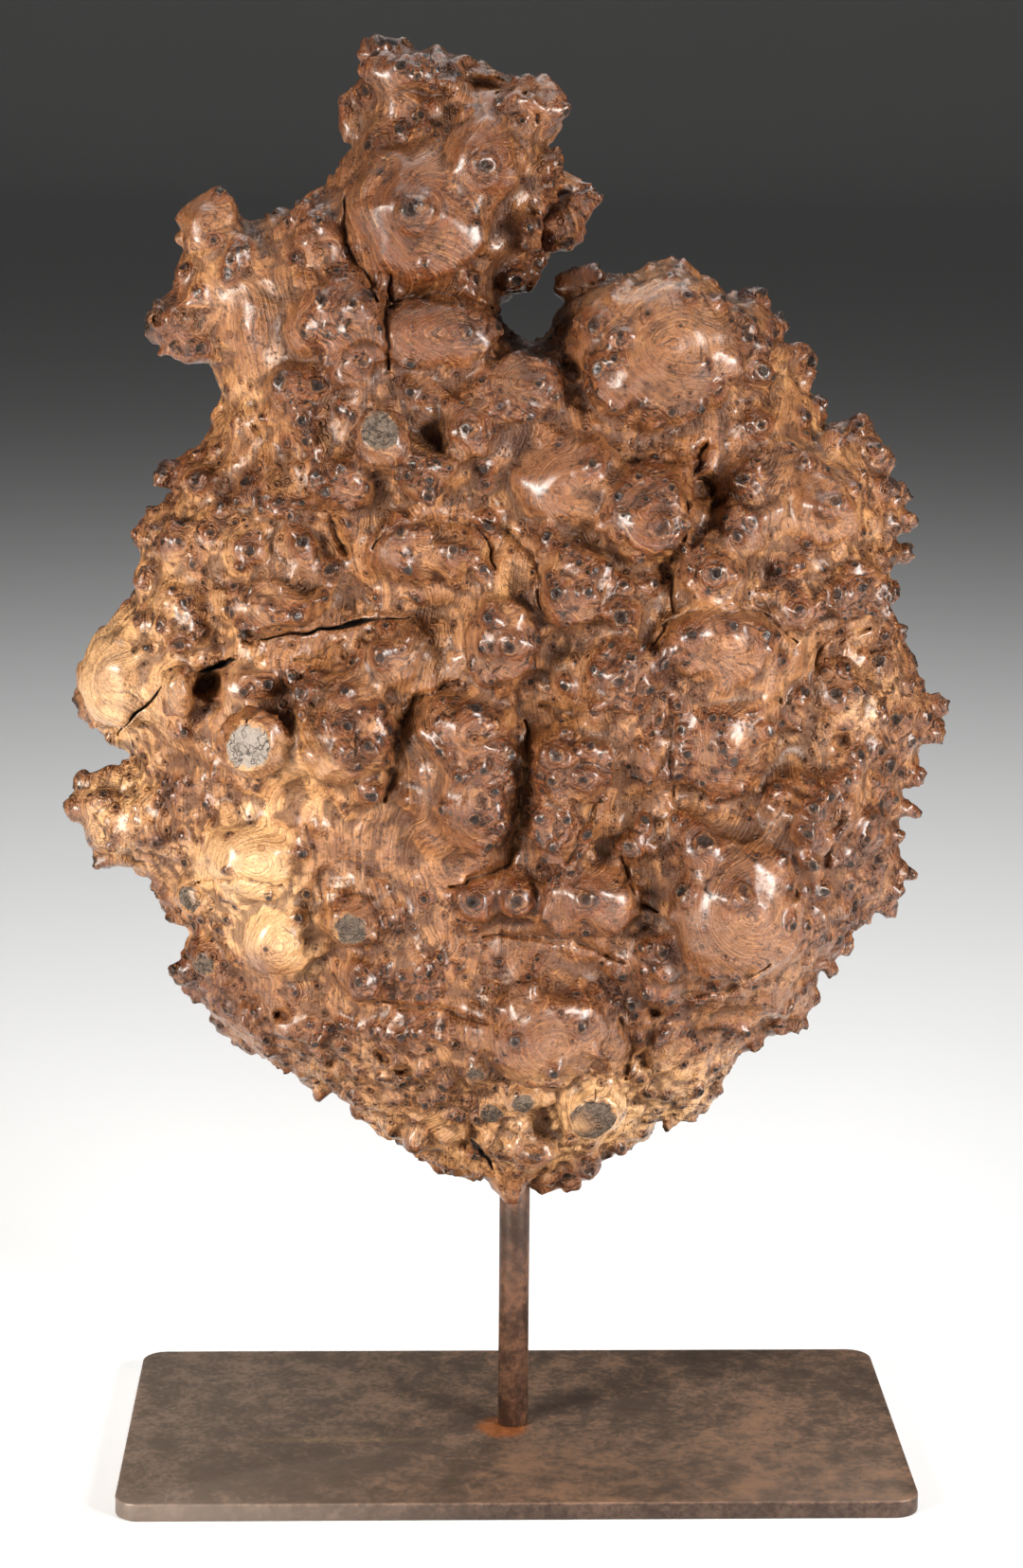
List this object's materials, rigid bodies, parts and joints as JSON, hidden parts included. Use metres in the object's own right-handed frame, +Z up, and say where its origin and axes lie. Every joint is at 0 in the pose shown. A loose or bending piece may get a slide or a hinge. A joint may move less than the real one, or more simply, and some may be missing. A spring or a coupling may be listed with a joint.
{
  "type": "oak burl on a steel stand",
  "caption": "Large rounded wood burl, knobbly with lobes, pips and horns, held upright by a round steel post on a flat rectangular steel plate.",
  "frame": {"origin": "on the table, in the middle of the whole object's box", "axes": "+Z up along the post, +X to the viewer's right along the plate's long side, -Y towards the viewer, out of the burl's domed front"},
  "size_m": [0.4513, 0.2037, 0.7291],
  "materials": {
    "burl": "oiled satin brown, darker on the knobs",
    "post": "brown rust patina",
    "base_plate": "brown rust patina, mottled",
    "post_screw": "plain steel"
  },
  "bodies": {
    "root": {"burl": "burl", "post": "post", "base_plate": "base_plate", "post_screw": "post_screw"}
  },
  "joints": []
}
